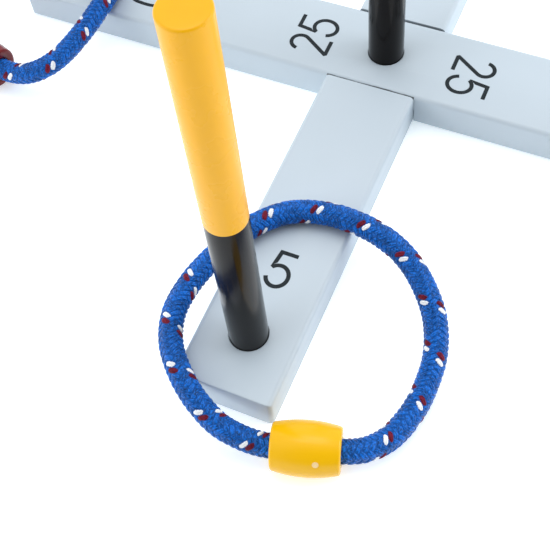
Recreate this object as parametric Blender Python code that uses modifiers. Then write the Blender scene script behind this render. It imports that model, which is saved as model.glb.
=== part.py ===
"""Ring toss set: two half-lapped boards, five dowel pegs, and four rope rings closed by wooden beads.

Metres, +Z up. The origin is the middle of the cross, on the surface that it stands on. +X runs along the
upper board and +Y along the lower one, so the near arm points along -Y.
"""

import math

import bpy
from mathutils import Matrix, Vector

MM = 0.001
GAP = 0.3 * MM  # left between pieces that touch

BOARD_LENGTH = 520 * MM
BOARD_WIDTH = 60 * MM
BOARD_THICKNESS = 25 * MM
EDGE_RADIUS = 3 * MM
EDGE_SEGMENTS = 3
LAP_DEPTH = BOARD_THICKNESS / 2
LAP_CLEARANCE = 0.4 * MM  # each side of the crossing board

PEG_RADIUS = 11.5 * MM
PEG_HEIGHT = 260 * MM  # above the board
PEG_REACH = 222 * MM  # from the middle to an outer peg's axis
PEG_RIM = 1 * MM
SOCKET_DEPTH = 18 * MM
SOCKET_CLEARANCE = 0.5 * MM

ROPE_RADIUS = 7 * MM
ROPE_STEP = 11 * MM  # between the rope's cross-sections
ROPE_END_GAP = 1 * MM  # between the rope's two ends, in the middle of the bead

BEAD_HALF_LENGTH = 19.35 * MM
BEAD_RADIUS = 15.8 * MM
BEAD_END_RADIUS = 13.2 * MM
BEAD_RIM = 1.8 * MM
BEAD_BORE_RADIUS = ROPE_RADIUS + 0.5 * MM
BEAD_HEIGHT = BEAD_RADIUS + 0.1 * MM  # of its axis, as it lies on the ground

PIN_RADIUS = 1.6 * MM
PIN_OFFSET = 7 * MM  # from the bead's middle, along its axis
PIN_TILT = math.radians(54)  # of pin a, from straight up towards the bead's outer side
PIN_SUNK = 0.2 * MM  # its head, under the bead's surface

ROUND_STEPS = 28

# A ring's route from one end of its bead round to the other, in millimetres, for the near and the left
# ring. Its rope lies on a board at z = 32.3 and sags beside it; the bead lies on the ground.
NEAR_ROUTE = [
    (86.2, -258.9, 14.5), (95.2, -246.2, 11.5), (100.8, -227.6, 10), (102.4, -208.4, 10),
    (100.8, -189.7, 13.5), (93.7, -171.7, 18.5), (81.6, -156.9, 24), (66.4, -145.2, 28.5),
    (48.7, -138.2, 31.5), (30, -135.3, 32.5), (10.4, -136, 32.5), (-8.2, -142.6, 32.5),
    (-22.5, -156.1, 32.5), (-32, -172.7, 32.3), (-39.1, -190.5, 31.8), (-43.5, -208.9, 31.5),
    (-43.6, -228.1, 31.8), (-36.6, -246.6, 32.5), (-23.4, -261.9, 31.8), (-7.9, -272.8, 27),
    (11.1, -279.3, 21),
]
LEFT_ROUTE = [
    (-229, -94.2, 18), (-217.5, -91, 21), (-207.8, -84, 25), (-201.2, -74, 28.5),
    (-197.4, -62, 30.9), (-195.6, -48.5, 31.9), (-195, -35, 32.3), (-195, -20, 32.5),
    (-196.4, -4, 32.5), (-200.5, 12.5, 32.5), (-208.5, 28, 32.5), (-220.5, 41, 30.5),
    (-236.5, 50, 26), (-254.5, 54, 22), (-273, 53.3, 18), (-290.5, 48, 14.5),
    (-306, 38.5, 11.5), (-319, 25.5, 9.3), (-328.5, 9.5, 8), (-333.8, -8.5, 7.5),
    (-334.8, -27, 7.5), (-331.5, -45.5, 7.8), (-323.5, -62, 9.3), (-310.5, -75.5, 11.5),
    (-294.5, -84.5, 14),
]
NEAR_BEAD = ((55.5, -271.4), 17)  # its middle in millimetres, and its axis's angle from +X in degrees
LEFT_BEAD = ((-263.5, -90.3), -8)
# Each ring: its route, its bead and half a turn about the middle of the set, or none.
RINGS = {
    "near": (NEAR_ROUTE, NEAR_BEAD, 0),
    "left": (LEFT_ROUTE, LEFT_BEAD, 0),
    "far": (NEAR_ROUTE, NEAR_BEAD, math.pi),
    "right": (LEFT_ROUTE, LEFT_BEAD, math.pi),
}
PEGS = {"centre": (0, 0), "near": (0, -1), "far": (0, 1), "left": (-1, 0), "right": (1, 0)}

PAINTS = {
    "board_grey": ((0.58, 0.68, 0.74), 0.35),
    "near": ((0.95, 0.56, 0.05), 0.35),
    "left": ((0.30, 0.02, 0.03), 0.35),
    "far": ((0.05, 0.32, 0.08), 0.35),
    "right": ((0.02, 0.12, 0.48), 0.35),
    "centre": ((0.85, 0.20, 0.02), 0.35),
    "rope_blue": ((0.01, 0.10, 0.50), 0.60),
    "pin_wood": ((0.95, 0.65, 0.35), 0.50),
}


def clear_scene():
    for obj in list(bpy.data.objects):
        bpy.data.objects.remove(obj, do_unlink=True)


def new_collection(name):
    collection = bpy.data.collections.new(name)
    bpy.context.scene.collection.children.link(collection)
    return collection


def material(name, colour, roughness):
    made = bpy.data.materials.new(name)
    made.use_nodes = True
    shader = made.node_tree.nodes["Principled BSDF"]
    shader.inputs["Base Color"].default_value = (*colour, 1)
    shader.inputs["Roughness"].default_value = roughness
    shader.inputs["Metallic"].default_value = 0
    return made


def place(obj, name, collection, paint=None):
    """Names obj, moves it to its collection and paints it."""
    obj.name = name
    for old in list(obj.users_collection):
        old.objects.unlink(obj)
    collection.objects.link(obj)
    if paint:
        obj.data.materials.append(paint)
    return obj


def box(name, collection, size, centre, paint=None):
    bpy.ops.mesh.primitive_cube_add(size=1, location=centre)
    obj = bpy.context.active_object
    obj.scale = size
    bpy.ops.object.transform_apply(location=False, rotation=False, scale=True)
    return place(obj, name, collection, paint)


def cylinder(name, collection, radius, low, high, point=(0, 0), steps=ROUND_STEPS, paint=None):
    """An upright cylinder about this point, from z = low to z = high."""
    centre = (*point, (low + high) / 2)
    bpy.ops.mesh.primitive_cylinder_add(
        vertices=steps, radius=radius, depth=high - low, location=centre
    )
    return place(bpy.context.active_object, name, collection, paint)


def turned(name, collection, profile, paint, closed=False):
    """A shape turned about local Z from (radius, z) points, listed down its outer side from the top."""
    mesh = bpy.data.meshes.new(name)
    ends = [(i, i + 1) for i in range(len(profile) - 1)]
    if closed:
        ends.append((len(profile) - 1, 0))
    mesh.from_pydata([(radius, 0, z) for radius, z in profile], ends, [])
    obj = bpy.data.objects.new(name, mesh)
    collection.objects.link(obj)
    screw = obj.modifiers.new("turn", "SCREW")
    screw.steps = screw.render_steps = ROUND_STEPS
    screw.use_merge_vertices = True
    screw.merge_threshold = 0.0001
    screw.use_smooth_shade = True
    mesh.materials.append(paint)
    return obj


def hide_cutter(cutter):
    cutter.hide_render = True
    cutter.display_type = "WIRE"


def cut(obj, cutter):
    hide_cutter(cutter)
    boolean = obj.modifiers.new("cut_" + cutter.name, "BOOLEAN")
    boolean.object = cutter
    boolean.operation = "DIFFERENCE"


def rim_arc(radius, z, rim, start, steps=3):
    """Points of a rounded rim of radius rim about (radius, z), a quarter turn down from angle start."""
    return [
        (radius + rim * math.cos(angle), z + rim * math.sin(angle))
        for angle in (math.radians(start - 90 * i / steps) for i in range(steps + 1))
    ]


# Boards


def board(name, collection, cutters, paint, along_x):
    """A board with eased edges, three sockets, and half its thickness cut out at the middle."""
    sides = (BOARD_LENGTH, BOARD_WIDTH) if along_x else (BOARD_WIDTH, BOARD_LENGTH)
    middle = (0, 0, BOARD_THICKNESS / 2)
    made = box(name, collection, (*sides, BOARD_THICKNESS), middle, paint)
    bevel = made.modifiers.new("eased_edges", "BEVEL")
    bevel.width = EDGE_RADIUS
    bevel.segments = EDGE_SEGMENTS

    across = BOARD_WIDTH + 2 * LAP_CLEARANCE
    past = 2 * BOARD_WIDTH
    # The board along X loses its lower half, and the other one its upper half.
    if along_x:
        notch_size = (across, past, BOARD_THICKNESS)
        notch_middle = LAP_DEPTH + GAP / 2 - BOARD_THICKNESS / 2
    else:
        notch_size = (past, across, BOARD_THICKNESS)
        notch_middle = LAP_DEPTH - GAP / 2 + BOARD_THICKNESS / 2
    cut(made, box(name + "_notch", cutters, notch_size, (0, 0, notch_middle)))

    # The centre peg's socket goes on through the upper board into the lower one.
    radius = PEG_RADIUS + SOCKET_CLEARANCE
    floor = BOARD_THICKNESS - SOCKET_DEPTH
    for place_number, along in enumerate((-PEG_REACH, 0, PEG_REACH)):
        point = (along, 0) if along_x else (0, along)
        socket = cylinder(
            f"{name}_socket_{place_number}", cutters, radius, floor, 2 * BOARD_THICKNESS, point
        )
        cut(made, socket)
    return made


# Pegs


def peg(name, collection, paint, across):
    top = BOARD_THICKNESS + PEG_HEIGHT
    bottom = BOARD_THICKNESS - SOCKET_DEPTH + GAP
    profile = [(0, top)]
    profile += rim_arc(PEG_RADIUS - PEG_RIM, top - PEG_RIM, PEG_RIM, 90)
    profile += rim_arc(PEG_RADIUS - PEG_RIM, bottom + PEG_RIM, PEG_RIM, 0)
    profile += [(0, bottom)]
    made = turned(name, collection, profile, paint)
    made.location = (across[0] * PEG_REACH, across[1] * PEG_REACH, 0)
    return made


# Rings


def bead_radius(along):
    """The barrel's radius at this distance from its middle."""
    return BEAD_RADIUS - (BEAD_RADIUS - BEAD_END_RADIUS) * (along / BEAD_HALF_LENGTH) ** 2


def bead_profile():
    """The barrel's section: its outer side from the top down, and back up its bore."""
    side_end = BEAD_HALF_LENGTH - BEAD_RIM
    rim_middle = bead_radius(side_end) - BEAD_RIM
    outside = rim_arc(rim_middle, side_end, BEAD_RIM, 90)
    side_steps = 8
    for i in range(1, side_steps):
        along = side_end * (1 - 2 * i / side_steps)
        outside.append((bead_radius(along), along))
    outside += rim_arc(rim_middle, -side_end, BEAD_RIM, 0)
    return outside + [(BEAD_BORE_RADIUS, -BEAD_HALF_LENGTH), (BEAD_BORE_RADIUS, BEAD_HALF_LENGTH)]


def bead_frame(middle, angle):
    """The matrix that lays a bead's local Z along its axis, with its local X pointing up."""
    axis = Vector((math.cos(angle), math.sin(angle), 0))
    up = Vector((0, 0, 1))
    turn = Matrix((up, axis.cross(up), axis)).transposed()
    return Matrix.Translation(middle) @ turn.to_4x4()


def smooth_path(points, start_way, end_way, step):
    """A Hermite curve through the points, with its ends' directions given, sampled every step or so."""
    ways = [(b - a) / 2 for a, b in zip(points, points[2:])]
    first = start_way.normalized() * (points[1] - points[0]).length
    last = end_way.normalized() * (points[-1] - points[-2]).length
    ways = [first, *ways, last]
    path = []
    for a, b, way_a, way_b in zip(points, points[1:], ways, ways[1:]):
        count = max(1, round((b - a).length / step))
        for i in range(count):
            t = i / count
            path.append(
                a * (2 * t**3 - 3 * t**2 + 1)
                + way_a * (t**3 - 2 * t**2 + t)
                + b * (3 * t**2 - 2 * t**3)
                + way_b * (t**3 - t**2)
            )
    return path + [points[-1]]


def rope_path(route, middle, axis):
    """From the middle of the bead out of its one end, round the route and back in at the other."""
    out_end = middle + axis * BEAD_HALF_LENGTH
    in_end = middle - axis * BEAD_HALF_LENGTH
    points = [out_end, *[Vector(point) * MM for point in route], in_end]
    path = smooth_path(points, axis, axis, ROPE_STEP)
    half_gap = axis * ROPE_END_GAP / 2
    return [middle + half_gap, *path, middle - half_gap]


def rope(name, collection, paint, path):
    curve = bpy.data.curves.new(name, "CURVE")
    curve.dimensions = "3D"
    curve.bevel_depth = ROPE_RADIUS
    curve.bevel_resolution = 2
    curve.use_fill_caps = True
    spline = curve.splines.new("POLY")
    spline.points.add(len(path) - 1)
    for point, place_there in zip(spline.points, path):
        point.co = (*place_there, 1)
    curve.materials.append(paint)
    obj = bpy.data.objects.new(name, curve)
    collection.objects.link(obj)
    return obj


def pin_matrix(frame, along, tilt):
    """Lays local Z outwards through the bead's wall, at tilt from straight up about its axis."""
    about_axis = Matrix.Rotation(tilt, 4, "Z") @ Matrix.Translation((0, 0, along))
    return frame @ about_axis @ Matrix.Rotation(math.pi / 2, 4, "Y")


def ring(name, collection, cutters, paints):
    route, bead, half_turn = RINGS[name]
    (x, y), degrees = bead
    turn = Matrix.Rotation(half_turn, 4, "Z")
    middle = Vector((x * MM, y * MM, BEAD_HEIGHT))
    frame = bead_frame(middle, math.radians(degrees))
    axis = (frame.to_3x3() @ Vector((0, 0, 1))).normalized()
    path = [turn @ point for point in rope_path(route, middle, axis)]
    rope(f"ring_{name}_rope", collection, paints["rope_blue"], path)

    barrel = turned(f"ring_{name}_bead", collection, bead_profile(), paints[name], closed=True)
    barrel.matrix_world = turn @ frame

    # One pin through the wall up to each end of the rope, on opposite sides.
    low = ROPE_RADIUS + GAP
    high = bead_radius(PIN_OFFSET) - PIN_SUNK
    ends = (("a", PIN_OFFSET, PIN_TILT), ("b", -PIN_OFFSET, PIN_TILT + math.pi))
    for letter, along, tilt in ends:
        there = turn @ pin_matrix(frame, along, tilt)
        pin_name = f"ring_{name}_pin_{letter}"
        pin = cylinder(
            pin_name, collection, PIN_RADIUS, low, high, steps=12, paint=paints["pin_wood"]
        )
        pin.matrix_world = there @ pin.matrix_world
        hole = cylinder(pin_name + "_hole", cutters, PIN_RADIUS + GAP, 0, 2 * BEAD_RADIUS, steps=16)
        hole.matrix_world = there @ hole.matrix_world
        cut(barrel, hole)


def build():
    clear_scene()
    collection = new_collection("ring_toss_set")
    cutters = new_collection("cutters")
    paints = {name: material(name, *look) for name, look in PAINTS.items()}

    board("board_upper", collection, cutters, paints["board_grey"], along_x=True)
    board("board_lower", collection, cutters, paints["board_grey"], along_x=False)
    for name, across in PEGS.items():
        peg(f"peg_{name}", collection, paints[name], across)
    for name in RINGS:
        ring(name, collection, cutters, paints)


build()
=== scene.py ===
"""The looks of the ring toss set: painted boards, lacquered pegs and beads, and braided rope rings.

Everything is in metres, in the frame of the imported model: +X along the upper board, +Y along the lower
one, +Z up, and the origin in the middle of the cross, on the surface that it stands on.
"""

import math

import bpy
import numpy as np
from mathutils import Matrix, Vector


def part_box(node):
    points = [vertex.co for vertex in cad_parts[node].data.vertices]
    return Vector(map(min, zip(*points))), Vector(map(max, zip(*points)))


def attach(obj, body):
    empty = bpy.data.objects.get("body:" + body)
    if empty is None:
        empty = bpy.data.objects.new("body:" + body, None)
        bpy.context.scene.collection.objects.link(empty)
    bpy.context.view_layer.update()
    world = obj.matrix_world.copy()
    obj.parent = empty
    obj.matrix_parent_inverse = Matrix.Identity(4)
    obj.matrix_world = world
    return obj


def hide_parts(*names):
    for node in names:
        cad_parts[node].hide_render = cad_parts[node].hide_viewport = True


MM = 0.001
TURN = 2 * math.pi

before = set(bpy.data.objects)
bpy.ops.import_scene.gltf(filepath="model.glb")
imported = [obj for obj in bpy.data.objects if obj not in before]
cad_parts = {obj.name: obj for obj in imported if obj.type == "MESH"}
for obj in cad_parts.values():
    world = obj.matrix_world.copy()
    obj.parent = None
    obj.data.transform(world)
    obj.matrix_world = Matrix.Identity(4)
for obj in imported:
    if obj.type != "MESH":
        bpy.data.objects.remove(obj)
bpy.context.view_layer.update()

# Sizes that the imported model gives.
UPPER_LOW, UPPER_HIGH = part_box("board_upper")
PEG_LOW, PEG_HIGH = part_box("peg_centre")
OUTER_PEG_LOW, OUTER_PEG_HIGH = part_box("peg_right")
BOARD_TOP = UPPER_HIGH.z
PEG_RADIUS = (PEG_HIGH.x - PEG_LOW.x) / 2
PEG_REACH = (OUTER_PEG_LOW.x + OUTER_PEG_HIGH.x) / 2  # from the middle of the set to an outer peg's axis

# Boards
BOARD_HALF_WIDTH = (UPPER_HIGH.y - UPPER_LOW.y) / 2
EDGE_RADIUS = 3 * MM
END_EDGE_SHARE = 0.28  # of the edge radius, on the flat edges of the sawn ends
LAP_CLEARANCE = 0.4 * MM  # on each side of the crossing board
LAP_GAP = 0.3 * MM  # between the two halves of the lap
JOINT_SHADE = 1.2 * MM  # how far the painted shade and dirt at the lap joint come in over the rounded edge
JOINT_DARKNESS = 0.9
JOINT_RAGGEDNESS = 0.3 * MM
JOINT_END = 0.2 * MM  # from the joint's corners to the end of the painted shade and dirt
SOCKET_CLEARANCE = 0.12 * MM  # tight, as real pegs fit
SOCKET_EASE = 0.3 * MM  # of its mouth
SOCKET_FLOOR_GAP = 0.3 * MM  # under the peg

# Pegs
PEG_RIM = 1.3 * MM
PEG_INNER_SHARE = 0.35  # of the radius, for the inner ring of points on the flat top
BLACK_HEIGHT = 121 * MM  # of the black paint, above the board
PAINT_STEP = 0.06 * MM  # by which the colour lies over the black

# Beads
BEAD_HALF_LENGTH = 19.35 * MM
BEAD_RADIUS = 15.8 * MM
BEAD_END_RADIUS = 13.2 * MM
BEAD_RIM = 1.8 * MM
BEAD_BORE_RADIUS = 7.5 * MM
BEAD_MOUTH = 0.6 * MM  # the chamfer of the bore's two mouths
BEAD_HEIGHT = BEAD_RADIUS + 0.1 * MM  # of its middle, as it lies on the ground

# Pins, which hold the rope's two ends in the bead
PIN_RADIUS = 1.8 * MM
PIN_OFFSET = 6.3 * MM  # from the bead's middle, along its axis
PIN_TILT = math.radians(54)  # of pin a, from straight up towards the bead's outer side
PIN_PROUD = 0.18 * MM
PIN_EASE = 0.12 * MM  # of its end's rim
PIN_INNER_SHARE = 0.4  # of the radius, for the inner ring of points on its end

# Rope
ROPE_RADIUS = 7 * MM  # on average over the stitches
ROPE_CROWN_RADIUS = 7.32 * MM  # to the top of the stitches
ROPE_END_GAP = 1 * MM  # between its two ends, in the middle of the bead
BRAID_PITCH = 29.7 * MM  # of one strand's turn round the rope
BRAID_STRANDS = 8  # each way round
STITCH_HEIGHT = 0.7 * MM  # of a strand's rounded back where it lies on top, over the gaps
STITCH_UNEVENNESS = 0.08  # of that height, either way of the average stitch
STITCH_SIDES, STITCH_ENDS = 2.6, 3  # powers: a higher one squares a stitch's outline
STITCH_BACK = 0.85  # a power: a lower one flattens a stitch's back
STITCH_STRAY = 0.12 * MM  # by which the stitches lie unevenly, in two waves:
STRAY_WAVES = ((0.6, 11.3 * MM, 2), (0.4, 7.1 * MM, -3))  # the share, length and turns of each
# The middle of a pair of tracer stitches lies this part of a turn on round the rope, and this part of a
# pitch back along it, from the corner where the strands' count starts.
PAIR_MIDDLE = 1 / (4 * BRAID_STRANDS)
RED_SHARE, WHITE_SHARE = 0.97, 0.74  # of the way to a tracer stitch's edge that shows its colour; past it the rim has the blue yarn's look, partly where blue strands lie over it and partly as painted shade on the tracer's own rim
BRAID_WANDER = 1.5 * MM  # by which the stitches stray along the rope, once in each WANDER_LENGTH
WANDER_LENGTH = 320 * MM
WANDER_START = math.pi / 3
TONES = 257  # different shades of stitch
TONE_SPREAD = 0.25  # either way of 0.5
MAP_STRANDS = 7  # strands with places of their own in the strand map
MAP_SPACING = 4  # from one of them to the next, where each is 2 wide
ROPE_STEP = 0.36 * MM
ROPE_SIDES = 120
ROUTE_STEPS = 40  # of the curve between two of a route's points, before it is spaced evenly

# A ring's route from one end of its bead round to the other, in millimetres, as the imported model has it.
NEAR_ROUTE = [
    (86.2, -258.9, 14.5), (95.2, -246.2, 11.5), (100.8, -227.6, 10), (102.4, -208.4, 10),
    (100.8, -189.7, 13.5), (93.7, -171.7, 18.5), (81.6, -156.9, 24), (66.4, -145.2, 28.5),
    (48.7, -138.2, 31.5), (30, -135.3, 32.5), (10.4, -136, 32.5), (-8.2, -142.6, 32.5),
    (-22.5, -156.1, 32.5), (-32, -172.7, 32.3), (-39.1, -190.5, 31.8), (-43.5, -208.9, 31.5),
    (-43.6, -228.1, 31.8), (-36.6, -246.6, 32.5), (-23.4, -261.9, 31.8), (-7.9, -272.8, 27),
    (11.1, -279.3, 21),
]
LEFT_ROUTE = [
    (-229, -94.2, 18), (-217.5, -91, 21), (-207.8, -84, 25), (-201.2, -74, 28.5),
    (-197.4, -62, 30.9), (-195.6, -48.5, 31.9), (-195, -35, 32.3), (-195, -20, 32.5),
    (-196.4, -4, 32.5), (-200.5, 12.5, 32.5), (-208.5, 28, 32.5), (-220.5, 41, 30.5),
    (-236.5, 50, 26), (-254.5, 54, 22), (-273, 53.3, 18), (-290.5, 48, 14.5),
    (-306, 38.5, 11.5), (-319, 25.5, 9.3), (-328.5, 9.5, 8), (-333.8, -8.5, 7.5),
    (-334.8, -27, 7.5), (-331.5, -45.5, 7.8), (-323.5, -62, 9.3), (-310.5, -75.5, 11.5),
    (-294.5, -84.5, 14),
]
NEAR_BEAD = ((55.5, -271.4), 17)
LEFT_BEAD = ((-263.5, -90.3), -8)
# Each ring: its route, its bead, its turn about the middle of the set, its rope's length, and its tracers:
# how far along the rope the first pair of tracer stitches lies, at what angle round the rope, how far round
# the pairs creep per metre, and whether the red one lies further along than the white one.
RINGS = {
    "near": (NEAR_ROUTE, NEAR_BEAD, 0, 0.467, (0.0129, 0, math.radians(320), True)),
    "left": (LEFT_ROUTE, LEFT_BEAD, 0, 0.470, (0.0284, math.radians(72), math.radians(-200), False)),
    "far": (NEAR_ROUTE, NEAR_BEAD, math.pi, 0.467, (0.022, math.radians(-35), math.radians(260), True)),
    "right": (LEFT_ROUTE, LEFT_BEAD, math.pi, 0.470, (0.006, math.radians(40), math.radians(-240), False)),
}

# Colours, linear
BOARD_PAINT = (0.475, 0.55, 0.614)
# Each peg's paint, as the imported model calls it, and its colour. Its ring's bead has this colour, tinted
# by BEAD_TINT.
PAINTS = {
    "near": ("paint_yellow", (0.80, 0.396, 0.003)),
    "left": ("paint_red", (0.165, 0.012, 0.020)),
    "far": ("paint_green", (0.020, 0.20, 0.045)),
    "right": ("paint_blue", (0.010, 0.075, 0.36)),
    "centre": ("paint_orange", (0.75, 0.14, 0.012)),
}
BEAD_TINT = (1.02, 1.125, 0.8)  # a bead's paint over its peg's, for each channel
BLACK_PAINT = (0.0055, 0.0045, 0.0045)
# painted shade in the lap joint, with some raw wood and dirt
JOINT_SHADE_AND_DIRT = (0.03, 0.035, 0.04)
INK = (0.012, 0.017, 0.021)
ROPE_BLUE = (0.0035, 0.079, 0.345)
TRACER_RED = (0.125, 0.006, 0.02)
TRACER_WHITE = (0.80, 0.82, 0.86)
GAP_SHADE_SHARE = 0.85  # of a yarn's colour: painted shade in the gaps between stitches and between its two yarns
PIN_WOOD = (0.95, 0.66, 0.32)
FLOOR_WHITE = (0.95, 0.955, 0.96)
FLOOR_GLOW = (0.85, 0.95, 1)
TENT_WHITE = (0.96, 0.985, 1)


# Small tools


def placed(name, data):
    """A new object of this data, in the scene."""
    obj = bpy.data.objects.new(name, data)
    bpy.context.scene.collection.objects.link(obj)
    return obj


def shown(name, mesh, body, slot, *replaced):
    """An object of this mesh that rides on a body and stands for some CAD nodes."""
    obj = placed(name, mesh)
    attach(obj, body)
    if replaced:
        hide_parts(*replaced)
    return obj


def smooth(mesh, degrees=35):
    """Shades the mesh smooth, apart from edges sharper than this."""
    mesh.shade_smooth()
    mesh.set_sharp_from_angle(angle=math.radians(degrees))


def frozen(obj):
    """The object's mesh with its modifiers applied, and the object removed."""
    evaluated = obj.evaluated_get(bpy.context.evaluated_depsgraph_get())
    mesh = bpy.data.meshes.new_from_object(evaluated)
    mesh.transform(obj.matrix_world)
    bpy.data.objects.remove(obj, do_unlink=True)
    return mesh


def turned_mesh(name, profile, steps=96, closed=False):
    """A mesh turned about local Z from (radius, z) points, listed down its outer side from the top."""
    points = []
    faces = []
    rows = len(profile)
    for radius, z in profile:
        for i in range(steps):
            angle = TURN * i / steps
            points.append((radius * math.cos(angle), radius * math.sin(angle), z))
    for row in range(rows if closed else rows - 1):
        below = (row + 1) % rows
        for i in range(steps):
            j = (i + 1) % steps
            faces.append((row * steps + i, below * steps + i, below * steps + j, row * steps + j))
    if not closed:
        faces.append(tuple(range(steps)))
        faces.append(tuple(reversed(range((rows - 1) * steps, rows * steps))))
    mesh = bpy.data.meshes.new(name)
    mesh.from_pydata(points, [], faces)
    return mesh


def rim_arc(radius, z, rim, start, steps=6):
    """Points of a rounded rim about (radius, z), a quarter turn down from angle start."""
    return [
        (radius + rim * math.cos(angle), z + rim * math.sin(angle))
        for angle in (math.radians(start - 90 * i / steps) for i in range(steps + 1))
    ]


# Materials


class Look:
    """A Principled material and short ways to add nodes to it."""

    def __init__(self, name, colour, roughness, **values):
        self.material = bpy.data.materials.new(name)
        self.material.use_nodes = True
        self.tree = self.material.node_tree
        self.shader = self.tree.nodes["Principled BSDF"]
        self.set("Base Color", (*colour, 1))
        self.set("Roughness", roughness)
        for key, value in values.items():
            self.set(key.replace("_", " "), value)

    def set(self, socket, value):
        self.shader.inputs[socket].default_value = value

    def node(self, kind, settings=None, **inputs):
        made = self.tree.nodes.new("ShaderNode" + kind)
        for key, value in (settings or {}).items():
            setattr(made, key, value)
        for key, value in inputs.items():
            socket = made.inputs[key.replace("_", " ")]
            if isinstance(value, bpy.types.NodeSocket):
                self.tree.links.new(value, socket)
            else:
                socket.default_value = value
        return made

    def place(self, scale=(1, 1, 1), source="Object"):
        """Coordinates of the surface, in metres times scale."""
        coordinates = self.node("TexCoord").outputs[source]
        return self.node("Mapping", Vector=coordinates, Scale=scale).outputs["Vector"]

    def noise(self, where, scale, detail=3, roughness=0.5):
        """Smooth noise from 0 to 1, with this many waves in a unit of length."""
        made = self.node("TexNoise", Vector=where, Scale=scale, Detail=detail, Roughness=roughness)
        return made.outputs["Fac"]

    def spread(self, value, low, high, start=0.2, end=0.8):
        """value from start to end, spread over low to high and eased at both."""
        smoothly = {"interpolation_type": "SMOOTHSTEP"}
        made = self.node(
            "MapRange", smoothly, Value=value, From_Min=start, From_Max=end, To_Min=low, To_Max=high
        )
        return made.outputs["Result"]

    def math(self, operation, a, b=0.0):
        """The result of an operation on one or two values or sockets."""
        made = self.node("Math", {"operation": operation})
        for socket, value in zip(made.inputs, (a, b)):
            if isinstance(value, bpy.types.NodeSocket):
                self.tree.links.new(value, socket)
            else:
                socket.default_value = value
        return made.outputs[0]

    def shades(self, value, colour, dark, light):
        """The colour at the share dark to the share light of it."""
        return self.tint(self.spread(value, 0, 1), scaled(colour, dark), scaled(colour, light))

    def tint(self, factor, dark, light):
        """A colour between dark and light: sockets 6 and 7 of a Mix node are its two colours, and its
        output 2 is the mixed one."""
        made = self.node("Mix", {"data_type": "RGBA"}, Factor=factor)
        for socket, value in zip((made.inputs[6], made.inputs[7]), (dark, light)):
            if isinstance(value, bpy.types.NodeSocket):
                self.tree.links.new(value, socket)
            else:
                socket.default_value = (*value, 1)
        return made.outputs[2]

    def link(self, value, socket):
        """Feeds one of the shader's own sockets."""
        self.tree.links.new(value, self.shader.inputs[socket])

    def bump(self, height, strength, distance, below=None):
        """A normal for this height, on top of another one."""
        made = self.node("Bump", Height=height, Strength=strength, Distance=distance)
        if below:
            self.tree.links.new(below, made.inputs["Normal"])
        return made.outputs["Normal"]


def scaled(colour, factor):
    """The colour times a factor, with no channel over 1."""
    return tuple(min(1, channel * factor) for channel in colour)


def joint_shade_and_dirt(look):
    """How dark the upper board is with painted shade in the lap joint, and partly with raw wood and dirt:
    its sides, where they face the lower board, from just inside the rounded edge down, with a ragged
    border."""
    axes = look.node("SeparateXYZ", Vector=look.place()).outputs
    noise = look.noise(look.place((1, 1, 0.2)), 90)
    ragged = look.spread(noise, -JOINT_RAGGEDNESS, JOINT_RAGGEDNESS)
    across = look.math("ADD", look.math("ABSOLUTE", axes["Y"]), ragged)
    side = look.spread(across, 0, 1, BOARD_HALF_WIDTH - JOINT_SHADE, BOARD_HALF_WIDTH - JOINT_SHADE / 2)
    within = look.math("LESS_THAN", look.math("ABSOLUTE", axes["X"]), BOARD_HALF_WIDTH - JOINT_END)
    return look.math("MULTIPLY", look.math("MULTIPLY", side, within), JOINT_DARKNESS)


def board_look(name, along_x):
    """Satin paint over planed softwood: the grain shows faintly, along the board."""
    look = Look(name, BOARD_PAINT, 0.42)
    stretch = (9, 160, 160) if along_x else (160, 9, 160)
    grain = look.noise(look.place(stretch), 1, detail=5, roughness=0.6)
    cloud = look.noise(look.place(), 14, detail=2)
    speckle = look.noise(look.place(), 900, detail=2)
    colour = look.shades(cloud, BOARD_PAINT, 0.975, 1.02)
    # on the upper board, painted shade at the lap joint, with some raw wood and dirt
    if along_x:
        colour = look.tint(joint_shade_and_dirt(look), colour, JOINT_SHADE_AND_DIRT)
    look.link(colour, "Base Color")
    look.link(look.spread(grain, 0.36, 0.48), "Roughness")
    fine = look.bump(speckle, 0.06, 0.02 * MM)
    look.link(look.bump(grain, 0.12, 0.06 * MM, below=fine), "Normal")
    return look.material


def lacquer_look(name, colour, roughness=0.28, level=0.26, grain=(3, 3, 0.3)):
    """Thick lacquer on turned hardwood: smooth, with a little orange peel, and faintly lighter and darker
    in soft clouds, which the scales in grain can stretch."""
    look = Look(name, colour, roughness, Specular_IOR_Level=level)
    cloud = look.noise(look.place(grain), 30, detail=2)
    look.link(look.shades(cloud, colour, 0.975, 1.02), "Base Color")
    look.link(look.spread(look.noise(look.place(), 60), roughness - 0.03, roughness + 0.03), "Roughness")
    look.link(look.bump(look.noise(look.place(), 350, detail=2), 0.06, 0.02 * MM), "Normal")
    return look.material


def ink_look():
    """Printed ink, a little worn."""
    look = Look("number_ink", INK, 0.5, Specular_IOR_Level=0.15)
    cover = look.noise(look.place(), 500, detail=3)
    look.link(look.shades(cover, INK, 0.8, 1.5), "Base Color")
    look.link(look.spread(cover, 0.42, 0.6), "Roughness")
    return look.material


def pin_look():
    """The pin's bare end grain, with fine pores."""
    look = Look("pin_end_grain", PIN_WOOD, 0.55)
    pores = look.noise(look.place(), 2600, detail=4, roughness=0.7)
    look.link(look.shades(pores, PIN_WOOD, 0.72, 1.12), "Base Color")
    look.link(look.bump(pores, 0.3, 0.05 * MM), "Normal")
    return look.material


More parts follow.
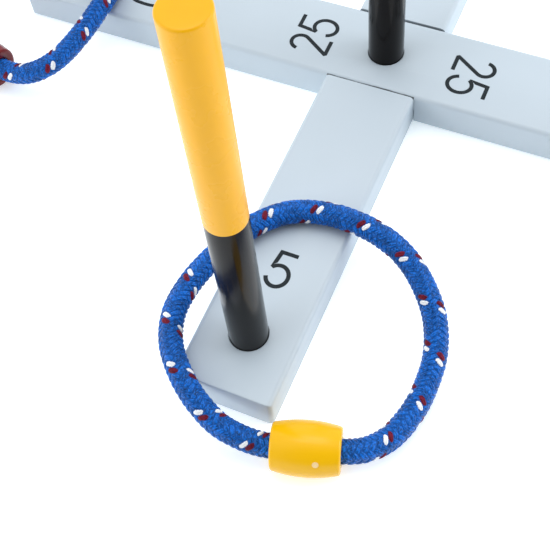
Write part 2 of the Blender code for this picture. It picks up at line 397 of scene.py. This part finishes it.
def strand_look(name, colour, dark, light, gloss, roughness, **values):
    """Multifilament yarn: two twisted yarns lie side by side in each strand, with painted highlights as
    flecks where their fibres catch the light, at the share light of the colour, and painted shade, the
    share dark, between them. Each stitch is a little lighter or darker than the next, and the gaps between
    stitches have one even painted shade."""
    look = Look(name, colour, roughness, Specular_IOR_Level=gloss, **values)
    place = look.node("UVMap", {"uv_map": "strand"}).outputs["UV"]
    across = look.node("SeparateXYZ", Vector=place).outputs["Y"]
    yarns = look.math("ABSOLUTE", look.math("SINE", look.math("MULTIPLY", across, math.pi)))
    twisted = look.node("Mapping", Vector=place, Scale=(0.65, 1.8, 1), Rotation=(0, 0, 0.45))
    flecks = look.noise(twisted.outputs["Vector"], 1, detail=2, roughness=0.7)
    tone = look.node("Attribute", {"attribute_name": "tone"}).outputs["Fac"]
    # painted highlights and shade: flecks at the share light and the share dark of the colour, with each
    # stitch's own tone
    both = look.math("ADD", look.spread(flecks, -0.55, 0.55, start=0.33, end=0.67), tone)
    lit = look.tint(both, scaled(colour, dark), scaled(colour, light))
    crown = look.node("Attribute", {"attribute_name": "crown"}).outputs["Fac"]
    # painted shade: towards the gap colour where the stitches' crowns are low and between the two yarns
    raised = look.math("MULTIPLY", look.spread(crown, 0, 1, 0, 0.5), look.spread(yarns, 0.6, 1, 0, 0.5))
    look.link(look.tint(raised, scaled(colour, GAP_SHADE_SHARE), lit), "Base Color")
    look.link(look.spread(flecks, roughness + 0.16, roughness - 0.1), "Roughness")
    rounded = look.bump(yarns, 0.6, 0.3 * MM)
    look.link(look.bump(flecks, 0.6, 0.4 * MM, below=rounded), "Normal")
    return look.material


def floor_look():
    """White paper, lit a little from below."""
    glow = {"Emission_Color": (*FLOOR_GLOW, 1), "Emission_Strength": 0.42}
    look = Look("floor_paper", FLOOR_WHITE, 0.8, **glow)
    fibres = look.noise(look.place(), 300, detail=3)
    look.link(look.bump(fibres, 0.02, 0.05 * MM), "Normal")
    return look.material


# Camera

CAMERA_PLACE = (0.16581, -0.46689, 0.58371)
CAMERA_RIGHT = Vector((0.91095, 0.40266, -0.08963))
CAMERA_UP = Vector((-0.31201, 0.81468, 0.48882))


def camera():
    """Looks down at the near ring, from in front and a little to the right, and is rolled clockwise."""
    lens = bpy.data.cameras.new("camera")
    lens.lens = 72.5
    lens.sensor_width = 36
    lens.shift_x = 0.040
    lens.shift_y = 0.0358
    lens.clip_start = 0.05
    obj = placed("camera", lens)
    turn = Matrix((CAMERA_RIGHT, CAMERA_UP, CAMERA_RIGHT.cross(CAMERA_UP))).transposed()
    obj.matrix_world = Matrix.Translation(CAMERA_PLACE) @ turn.to_4x4()
    bpy.context.scene.camera = obj


# Ropes


def bead_frame(middle, degrees):
    """The matrix that lays a bead's local Z along its axis, with its local X pointing up."""
    angle = math.radians(degrees)
    axis = Vector((math.cos(angle), math.sin(angle), 0))
    up = Vector((0, 0, 1))
    turn = Matrix((up, axis.cross(up), axis)).transposed()
    return Matrix.Translation(middle) @ turn.to_4x4()


def ring_frame(bead, half_turn):
    """The bead's matrix, and the turn that the whole ring takes about the middle of the set."""
    (x, y), degrees = bead
    turn = Matrix.Rotation(half_turn, 4, "Z")
    return turn @ bead_frame((x * MM, y * MM, BEAD_HEIGHT), degrees), turn


def smooth_path(points, start_way, end_way, steps):
    """A Hermite curve through the points, with its ends' directions given."""
    ways = [(b - a) / 2 for a, b in zip(points, points[2:])]
    first = start_way * np.linalg.norm(points[1] - points[0])
    last = end_way * np.linalg.norm(points[-1] - points[-2])
    ways = [first, *ways, last]
    t = (np.arange(steps) / steps)[:, None]
    path = []
    for a, b, way_a, way_b in zip(points, points[1:], ways, ways[1:]):
        stretch = a * (2 * t**3 - 3 * t**2 + 1) + way_a * (t**3 - 2 * t**2 + t)
        stretch += b * (3 * t**2 - 2 * t**3) + way_b * (t**3 - t**2)
        path.extend(stretch)
    return path + [points[-1]]


def evenly(line, step):
    """The line again, with points step apart, and how far along it they are."""
    lengths = np.linalg.norm(np.diff(line, axis=0), axis=1)
    along = np.concatenate([[0], np.cumsum(lengths)])
    at = np.linspace(0, along[-1], round(along[-1] / step) + 1)
    return np.stack([np.interp(at, along, line[:, k]) for k in range(3)], axis=1), at


def rope_line(route, bead, half_turn):
    """From the middle of the bead out of its one end, round the route and back in at the other."""
    whole, turn = ring_frame(bead, half_turn)
    middle = np.array(whole.translation)
    axis = np.array(whole.to_3x3() @ Vector((0, 0, 1)))
    out_end = middle + axis * BEAD_HALF_LENGTH
    in_end = middle - axis * BEAD_HALF_LENGTH
    points = [np.array(turn @ (Vector(point) * MM)) for point in route]
    path = smooth_path([out_end, *points, in_end], axis, axis, ROUTE_STEPS)
    half_gap = axis * ROPE_END_GAP / 2
    return evenly(np.array([middle + half_gap, *path, middle - half_gap]), ROPE_STEP)


def braid(along, angle, phase, tones):
    """The rope's surface as a braid of strands, each over two and under two: for points this far along it
    and at this angle round it, the height over the rope's core, which strand is on top, whether it winds
    the left-handed way, the stitch's number, and how near its rounded edge the point is, from 0 to 1."""
    turn = angle / TURN
    stray = sum(share * np.sin(TURN * (along / wave + turns * turn)) for share, wave, turns in STRAY_WAVES)
    ahead = (along - phase + STITCH_STRAY * stray) / BRAID_PITCH
    left_place = (ahead + turn) * BRAID_STRANDS
    right_place = (ahead - turn) * BRAID_STRANDS
    left_strand, right_strand = np.floor(left_place), np.floor(right_place)
    left = (left_strand - right_strand) % 4 < 2
    strand = np.where(left, left_strand, right_strand)
    across = 2 * (np.where(left, left_place, right_place) - strand) - 1
    passed = np.where(left, right_place - strand + 1, left_place - strand - 2)
    middle_way = passed % 4 - 1  # -1 and 1 at the stitch's two ends
    # The three factors only mix the stitches' numbers.
    stitch = (31 * strand + 17 * np.floor(passed / 4) + 5 * left).astype(int) % TONES
    edge = np.clip(np.abs(across) ** STITCH_SIDES + np.abs(middle_way) ** STITCH_ENDS, 0, 1)
    uneven = 1 - STITCH_UNEVENNESS + STITCH_UNEVENNESS * tones[stitch]
    return STITCH_HEIGHT * (1 - edge) ** STITCH_BACK * uneven, strand, left, stitch, edge


def tube_mesh(name, line, round_angle, radius):
    """A closed tube round the line, with a radius for each point of the line and each angle round it."""
    ways = np.gradient(line, axis=0)
    ways /= np.linalg.norm(ways, axis=1)[:, None]
    tops = np.array((0, 0, 1)) - ways * ways[:, 2:]
    tops /= np.linalg.norm(tops, axis=1)[:, None]
    sides = np.cross(ways, tops)
    points = line[:, None, :] + radius[:, :, None] * (
        np.cos(round_angle)[None, :, None] * tops[:, None, :]
        + np.sin(round_angle)[None, :, None] * sides[:, None, :]
    )
    here = np.arange(radius.size).reshape(radius.shape)
    beside = np.roll(here, -1, axis=1)
    faces = np.stack([here[:-1], beside[:-1], beside[1:], here[1:]], axis=-1).reshape(-1, 4)
    caps = [tuple(here[0][::-1].tolist()), tuple(here[-1].tolist())]
    mesh = bpy.data.meshes.new(name)
    mesh.from_pydata(points.reshape(-1, 3).tolist(), [], faces.tolist() + caps)
    mesh.shade_smooth()
    return mesh


def store(mesh, name, domain, values):
    """Keeps a number for each of the mesh's points or faces, for the materials."""
    mesh.attributes.new(name, "FLOAT", domain).data.foreach_set("value", values.astype(np.float32))


def paint_strands(mesh, looks, along, angle, phase, tones, red_ahead):
    """Gives each of the tube's faces the look, the tone and the map of the strand on top in its middle.
    along and angle are the tube's points, as braid takes them."""
    side_angle = TURN / ROPE_SIDES
    middle_angle = (angle[:-1] + angle[1:]) / 2 + side_angle / 2
    middle_along = np.broadcast_to((along[:-1] + along[1:])[:, None] / 2, middle_angle.shape)
    _, strand, left, stitch, edge = braid(middle_along, middle_angle, phase, tones)

    number = strand.astype(int) % BRAID_STRANDS
    red, white = (0, BRAID_STRANDS - 1) if red_ahead else (BRAID_STRANDS - 1, 0)
    # past its share, a tracer stitch's rim keeps the blue look: partly blue strands over it, partly painted
    # shade on its rim
    slots = np.where(left & (number == red) & (edge < RED_SHARE), 1, 0)
    slots = np.where(left & (number == white) & (edge < WHITE_SHARE), 2, slots)
    for look in looks:
        mesh.materials.append(look)
    # Two more faces follow the tube's, here and below: the caps.
    mesh.polygons.foreach_set("material_index", np.append(slots, [0, 0]).astype(np.int32))
    store(mesh, "tone", "FACE", np.append(0.5 + TONE_SPREAD * tones[stitch], [0.5, 0.5]))

    # The map of the strands: u is how far along the strand, in millimetres, and v goes across it from -1
    # to 1, with MAP_SPACING more for each next strand.
    corner_along = np.stack([along[:-1], along[:-1], along[1:], along[1:]], axis=1)[:, None, :]
    corner_angle = angle[:-1, :, None] + np.array((0, 1, 1, 0)) * side_angle
    hand = np.where(left, 1.0, -1.0)[:, :, None]
    strand = strand[:, :, None]
    across = 2 * ((corner_along - phase) / BRAID_PITCH + hand * corner_angle / TURN) * BRAID_STRANDS
    v = across - 2 * strand - 1 + MAP_SPACING * (strand % MAP_STRANDS)
    slant = math.atan2(TURN * ROPE_RADIUS, BRAID_PITCH)
    u = (ROPE_RADIUS * corner_angle * math.sin(slant) - hand * corner_along * math.cos(slant)) / MM
    caps = np.zeros(2 * 2 * ROPE_SIDES)
    strand_map = mesh.uv_layers.new(name="strand")
    strand_map.data.foreach_set("uv", np.append(np.stack([u, v], axis=-1), caps).astype(np.float32))


def rope(name, looks, route, bead, half_turn, tracers):
    """A ring's rope: a tube whose surface is the braid, with two tracer strands wound side by side."""
    first_pair, start_angle, creep, red_ahead = tracers
    line, along = rope_line(route, bead, half_turn)
    round_angle = np.arange(ROPE_SIDES) * TURN / ROPE_SIDES
    # The pairs creep round the rope as it goes along, and the stitches stray along it.
    angle = round_angle[None, :] - (start_angle + creep * along)[:, None] + TURN * PAIR_MIDDLE
    braided = along - BRAID_WANDER * np.sin(TURN * along / WANDER_LENGTH + WANDER_START)
    phase = first_pair + BRAID_PITCH * PAIR_MIDDLE
    tones = np.random.default_rng(sum(name.encode())).uniform(-1, 1, TONES)
    height, *_ = braid(np.broadcast_to(braided[:, None], angle.shape), angle, phase, tones)
    mesh = tube_mesh(name, line, round_angle, ROPE_CROWN_RADIUS - STITCH_HEIGHT + height)
    store(mesh, "crown", "POINT", height.reshape(-1) / STITCH_HEIGHT)
    paint_strands(mesh, looks, braided, angle, phase, tones, red_ahead)
    mesh.validate()

    obj = shown(f"{name}_braided_rope", mesh, name, "rope_blue", f"{name}_rope")


# Boards


def box_object(name, low, high):
    """A box between two corners."""
    bpy.ops.mesh.primitive_cube_add(size=1)
    obj = bpy.context.active_object
    obj.name = name
    size = Vector(high) - Vector(low)
    middle = (Vector(high) + Vector(low)) / 2
    obj.data.transform(Matrix.Translation(middle) @ Matrix.Diagonal((*size, 1)))
    return obj


def socket_cutter(x, y):
    """A bore with a slightly eased mouth, whose slope goes on above the board."""
    radius = PEG_RADIUS + SOCKET_CLEARANCE
    above = 10 * MM
    profile = [
        (radius + SOCKET_EASE + above, BOARD_TOP + above),
        (radius + SOCKET_EASE, BOARD_TOP),
        (radius, BOARD_TOP - SOCKET_EASE),
        (radius, PEG_LOW.z - SOCKET_FLOOR_GAP),
    ]
    obj = placed("socket", turned_mesh("socket", profile))
    obj.location = (x, y, 0)
    return obj


def board(name, look, along_x):
    """A board with rounded edges, its half lap cut out and its three sockets bored."""
    low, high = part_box(name)
    made = box_object(name, low, high)
    bevel = made.modifiers.new("rounded_edges", "BEVEL")
    bevel.width = EDGE_RADIUS
    bevel.segments = 8
    bevel.limit_method = "WEIGHT"
    weights = made.data.attributes.new("bevel_weight_edge", "FLOAT", "EDGE")
    width_axis = 1 if along_x else 0
    for edge in made.data.edges:
        start, end = (made.data.vertices[i].co for i in edge.vertices)
        across = abs((end - start)[width_axis]) > MM
        weights.data[edge.index].value = END_EDGE_SHARE if across else 1

    half_width = BOARD_HALF_WIDTH + LAP_CLEARANCE
    past = 2 * half_width  # well past the board's own sides
    lap = BOARD_TOP / 2
    if along_x:
        notch = ((-half_width, -past, -lap), (half_width, past, lap + LAP_GAP / 2))
    else:
        notch = ((-past, -half_width, lap - LAP_GAP / 2), (past, half_width, 3 * lap))
    cutters = [box_object("notch", *notch)]
    for along in (-PEG_REACH, 0, PEG_REACH):
        cutters.append(socket_cutter(along, 0) if along_x else socket_cutter(0, along))
    for cutter in cutters:
        boolean = made.modifiers.new("cut", "BOOLEAN")
        boolean.object = cutter
        boolean.operation = "DIFFERENCE"
    mesh = frozen(made)
    for cutter in cutters:
        bpy.data.objects.remove(cutter, do_unlink=True)
    smooth(mesh)
    mesh.materials.clear()
    mesh.materials.append(look)
    shown(name + "_painted", mesh, name, "board_grey", name)


# Pegs


def peg(name, paint, black):
    """A dowel, dipped black at the bottom and in its colour at the top."""
    node = f"peg_{name}"
    low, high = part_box(node)
    border = BOARD_TOP + BLACK_HEIGHT
    side = PEG_RADIUS + PAINT_STEP
    profile = [(PEG_INNER_SHARE * PEG_RADIUS, high.z)]
    profile += rim_arc(side - PEG_RIM, high.z - PEG_RIM, PEG_RIM, 90)
    profile += [(side, border + PAINT_STEP), (PEG_RADIUS, border)]
    profile += rim_arc(PEG_RADIUS - PEG_RIM, low.z + PEG_RIM, PEG_RIM, 0)
    mesh = turned_mesh(node, profile)
    middle = (low + high) / 2
    mesh.transform(Matrix.Translation((middle.x, middle.y, 0)))
    mesh.materials.append(paint)
    mesh.materials.append(black)
    for polygon in mesh.polygons:
        polygon.material_index = int(polygon.center.z < border)
    smooth(mesh)
    shown(node + "_lacquered", mesh, node, PAINTS[name][0], node)


# Beads


def bead_radius(along):
    """The barrel's radius this far from its middle."""
    return BEAD_RADIUS - (BEAD_RADIUS - BEAD_END_RADIUS) * (along / BEAD_HALF_LENGTH) ** 2


def bead_profile():
    """The barrel's section: its outer side from the top down, and back up its bore."""
    side_end = BEAD_HALF_LENGTH - BEAD_RIM
    rim_middle = bead_radius(side_end) - BEAD_RIM
    outside = rim_arc(rim_middle, side_end, BEAD_RIM, 90)
    side_steps = 24
    for i in range(1, side_steps):
        along = side_end * (1 - 2 * i / side_steps)
        outside.append((bead_radius(along), along))
    outside += rim_arc(rim_middle, -side_end, BEAD_RIM, 0)
    inside = [
        (BEAD_BORE_RADIUS + BEAD_MOUTH, -BEAD_HALF_LENGTH),
        (BEAD_BORE_RADIUS, -BEAD_HALF_LENGTH + BEAD_MOUTH),
        (BEAD_BORE_RADIUS, BEAD_HALF_LENGTH - BEAD_MOUTH),
        (BEAD_BORE_RADIUS + BEAD_MOUTH, BEAD_HALF_LENGTH),
    ]
    return outside + inside


def bead(name, paint, pin_paint):
    """A ring's barrel bead and its two pins."""
    _, place, half_turn, _, _ = RINGS[name]
    whole, _ = ring_frame(place, half_turn)
    body = f"ring_{name}"
    mesh = turned_mesh(f"{body}_bead", bead_profile(), closed=True)
    mesh.materials.append(paint)
    smooth(mesh, 50)
    mesh.transform(whole)
    shown(f"{body}_barrel", mesh, body, PAINTS[name][0], f"{body}_bead")

    for letter, along, tilt in (("a", PIN_OFFSET, PIN_TILT), ("b", -PIN_OFFSET, PIN_TILT + math.pi)):
        about_axis = Matrix.Rotation(tilt, 4, "Z") @ Matrix.Translation((0, 0, along))
        there = whole @ about_axis @ Matrix.Rotation(math.pi / 2, 4, "Y")
        top = bead_radius(along) + PIN_PROUD
        profile = [(PIN_INNER_SHARE * PIN_RADIUS, top)]
        profile += rim_arc(PIN_RADIUS - PIN_EASE, top - PIN_EASE, PIN_EASE, 90, steps=3)
        profile.append((PIN_RADIUS, ROPE_RADIUS))
        pin = turned_mesh(f"{body}_pin_{letter}", profile, steps=40)
        pin.materials.append(pin_paint)
        smooth(pin)
        pin.transform(there)
        shown(f"{body}_pin_end_{letter}", pin, body, "pin_wood", f"{body}_pin_{letter}")


# Numbers

STROKE = 2.6  # millimetres, as all the sizes of the digits
DIGIT_PITCH = 17.1
BLUNT_BELOW = -0.2  # a corner that turns outwards is blunt where its two directions' dot product is less
NUMBER_THICKNESS = 0.08 * MM
NUMBER_LIFT = 0.02 * MM  # of its middle, over the board
MIDDLE_NUMBER_SIZE = (0.98, 1.075)  # the two 25s are a little narrower and taller than the others


def arc(middle, radii, start, end, steps=28):
    """Points of an ellipse's arc, from one angle to another, in degrees."""
    angles = np.radians(np.linspace(start, end, steps + 1))
    return [
        (middle[0] + radii[0] * math.cos(angle), middle[1] + radii[1] * math.sin(angle))
        for angle in angles
    ]


def oval(radii, power, steps=72):
    """A closed ring of points that bulges more towards its corners than an ellipse does."""
    points = []
    for i in range(steps):
        angle = TURN * i / steps
        ways = math.cos(angle), math.sin(angle)
        points.append(tuple(math.copysign(r * abs(way) ** (2 / power), way) for r, way in zip(radii, ways)))
    return points


DIGITS = {
    "0": [oval((6.4, 11.9), 2.7)],
    "1": [[(-4.4, 8.0), (1.2, 12.0), (1.2, -13.1)]],
    "2": [[*arc((0.0, 6.2), (5.8, 5.8), 172, -38), (-5.7, -11.9), (6.6, -11.9)]],
    "5": [[(6.75, 11.7), (-3.75, 11.7), (-5.3, 0.4), *arc((-0.25, -4.45), (6.7, 7.3), 132, -164)]],
}


def side_of(points, side, closed):
    """The points moved by half a stroke to one side, with mitred corners and blunt sharp ones."""
    moved = []
    count = len(points)
    for i, point in enumerate(points):
        here = Vector(point)
        before = Vector(points[i - 1]) if closed or i else None
        after = Vector(points[(i + 1) % count]) if closed or i < count - 1 else None
        ways = []
        if before is not None:
            ways.append((here - before).normalized())
        if after is not None:
            ways.append((after - here).normalized())
        normals = [Vector((-way.y, way.x)) * side * STROKE / 2 for way in ways]
        if len(normals) == 1:
            moved.append(here + normals[0])
            continue
        middle = (normals[0] + normals[1]) / 2
        outer = side * (ways[0].x * ways[1].y - ways[0].y * ways[1].x) < 0
        if outer and ways[0].dot(ways[1]) < BLUNT_BELOW:
            moved += [here + normals[0], here + normals[1]]
        else:
            moved.append(here + middle * (STROKE / 2) ** 2 / middle.length_squared)
    return moved


def digit_outlines(path, closed):
    """The closed outlines of a stroke along a path: one round an open path, two round a closed one."""
    left = side_of(path, 1, closed)
    right = side_of(path, -1, closed)
    return [left, right] if closed else [left + right[::-1]]


def number(name, text, body, middle, heading, ink, size=(1, 1)):
    """Printed digits round a middle point, in millimetres, with their tops towards the heading, in degrees
    from +X. Their strokes stay as wide when size makes them wider and taller."""
    flat = bpy.data.curves.new(name, "CURVE")
    flat.dimensions = "2D"
    flat.fill_mode = "BOTH"
    flat.extrude = NUMBER_THICKNESS / 2
    for i, digit in enumerate(text):
        shift = (i - (len(text) - 1) / 2) * DIGIT_PITCH * size[0]
        for path in DIGITS[digit]:
            sized = [(x * size[0], y * size[1]) for x, y in path]
            for outline in digit_outlines(sized, digit == "0"):
                spline = flat.splines.new("POLY")
                spline.points.add(len(outline) - 1)
                spline.use_cyclic_u = True
                for point, (x, y) in zip(spline.points, outline):
                    point.co = ((x + shift) * MM, y * MM, 0, 1)
    obj = placed(name, flat)
    turn = Matrix.Rotation(math.radians(heading - 90), 4, "Z")
    place = (middle[0] * MM, middle[1] * MM, BOARD_TOP + NUMBER_LIFT)
    obj.matrix_world = Matrix.Translation(place) @ turn
    bpy.context.view_layer.update()
    mesh = frozen(obj)
    mesh.materials.clear()
    mesh.materials.append(ink)
    shown(name, mesh, body, "board_grey")


# Studio

SOFT_BOX_SIDE = 0.9
SOFT_BOX_TARGET = (0, -0.1, 0)
# The tent's strength is SIDES_STRENGTH, and falls to DIM_STRENGTH towards DIM_WAY, from where the cosine of
# the angle to that way is DIM_FROM.
SIDES_STRENGTH, DIM_STRENGTH = 1.28, 0.12
DIM_WAY = (0.5, -0.7, 0.5)
DIM_FROM = 0.45


def floor():
    """The white paper under the set, which is no part of it."""
    bpy.ops.mesh.primitive_plane_add(size=12)
    obj = bpy.context.active_object
    obj.name = "floor"
    obj.data.materials.append(floor_look())


def soft_box(name, power, place):
    """A square light that faces the set."""
    data = bpy.data.lights.new(name, "AREA")
    data.shape = "RECTANGLE"
    data.size = data.size_y = SOFT_BOX_SIDE
    data.energy = power
    obj = placed(name, data)
    obj.location = place
    way = Vector(SOFT_BOX_TARGET) - Vector(place)
    obj.rotation_euler = way.to_track_quat("-Z", "Y").to_euler()


def studio():
    """A white tent, dim towards the front right and above, and soft boxes above, in front on the left and
    on the right."""
    world = bpy.data.worlds.new("tent")
    bpy.context.scene.world = world
    world.use_nodes = True
    tree = world.node_tree
    background = tree.nodes["Background"]
    background.inputs["Color"].default_value = (*TENT_WHITE, 1)
    place = tree.nodes.new("ShaderNodeTexCoord")
    towards = tree.nodes.new("ShaderNodeVectorMath")
    towards.operation = "DOT_PRODUCT"
    towards.inputs[1].default_value = Vector(DIM_WAY).normalized()
    tree.links.new(place.outputs["Generated"], towards.inputs[0])
    ramp = tree.nodes.new("ShaderNodeMapRange")
    ramp.interpolation_type = "SMOOTHSTEP"
    ramp.inputs["From Min"].default_value = DIM_FROM
    ramp.inputs["To Min"].default_value = SIDES_STRENGTH
    ramp.inputs["To Max"].default_value = DIM_STRENGTH
    tree.links.new(towards.outputs["Value"], ramp.inputs["Value"])
    tree.links.new(ramp.outputs["Result"], background.inputs["Strength"])

    soft_box("overhead", 6, (-0.1, 0.2, 1.7))
    soft_box("front_left_box", 6, (-1.2, -1.1, 0.6))
    soft_box("right_box", 10, (1.4, 0.5, 0.8))


def main():
    bpy.context.scene.view_settings.view_transform = "Standard"
    camera()
    rope_looks = (
        strand_look(
            "rope_blue_yarn", ROPE_BLUE, dark=0.36, light=2.0, gloss=0.32, roughness=0.34,
            Specular_Tint=(0.5, 0.72, 1, 1),
        ),
        strand_look("rope_red_yarn", TRACER_RED, dark=0.6, light=1.5, gloss=0.12, roughness=0.5),
        strand_look("rope_white_yarn", TRACER_WHITE, dark=0.88, light=1.1, gloss=0.18, roughness=0.5),
    )
    for name, (route, place, half_turn, length, tracers) in RINGS.items():
        rope(f"ring_{name}", rope_looks, route, place, half_turn, tracers)

    board("board_upper", board_look("board_paint_x", True), along_x=True)
    board("board_lower", board_look("board_paint_y", False), along_x=False)

    paints = {name: lacquer_look(f"lacquer_{name}", colour) for name, (_, colour) in PAINTS.items()}
    black = lacquer_look("lacquer_black", BLACK_PAINT, roughness=0.17, level=0.105)
    for name in PAINTS:
        peg(name, paints[name], black)
    pin_paint = pin_look()
    for name in RINGS:
        colour = [channel * tint for channel, tint in zip(PAINTS[name][1], BEAD_TINT)]
        bead(name, lacquer_look(f"bead_lacquer_{name}", colour, roughness=0.2, grain=(1, 1, 1)), pin_paint)

    ink = ink_look()
    number("number_5", "5", "board_lower", (0.45, -177.15), 90, ink)
    number("number_15", "15", "board_lower", (0, 177), -90, ink)
    number("number_25_left", "25", "board_upper", (-49.5, -2.1), 180, ink, MIDDLE_NUMBER_SIZE)
    number("number_25_right", "25", "board_upper", (58.1, -2.1), 0, ink, MIDDLE_NUMBER_SIZE)
    number("number_10", "10", "board_upper", (-171.5, 0.8), -3, ink)
    number("number_20", "20", "board_upper", (177, 0), 180, ink)

    floor()
    studio()


main()
